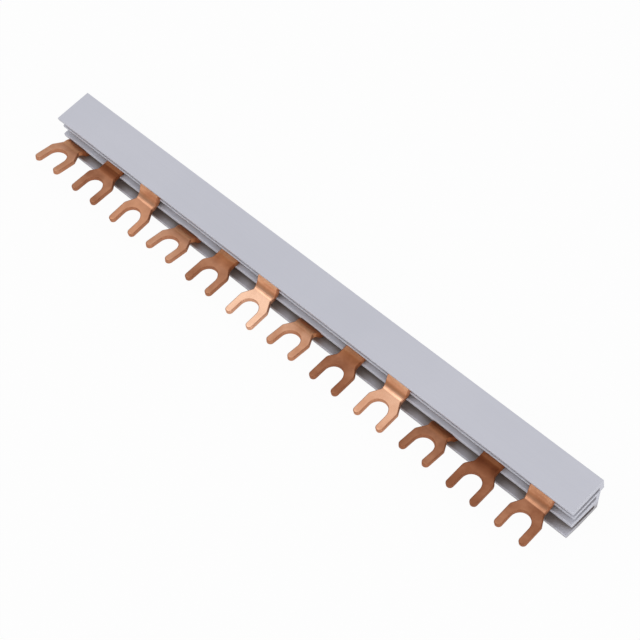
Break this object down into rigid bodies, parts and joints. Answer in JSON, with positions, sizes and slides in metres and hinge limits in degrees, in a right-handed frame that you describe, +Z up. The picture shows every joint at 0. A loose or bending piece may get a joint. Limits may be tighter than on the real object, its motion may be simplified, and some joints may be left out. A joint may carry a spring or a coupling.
{
  "type": "comb busbar",
  "caption": "Three-phase comb busbar: copper strips with fork terminals in a slotted grey plastic extrusion.",
  "frame": {"origin": "middle of the bounding box, on the plane of the underside", "axes": "+X along the row of modules, +Z up through the wide top wall, forks towards -Y"},
  "size_m": [0.2146, 0.027, 0.0115],
  "materials": {
    "grey_plastic": "satin extruded plastic",
    "copper": "bare rolled copper"
  },
  "bodies": {
    "root": {"insulating_profile": "grey_plastic", "upper_comb_bar": "copper", "middle_comb_bar": "copper", "lower_comb_bar": "copper"}
  },
  "joints": []
}
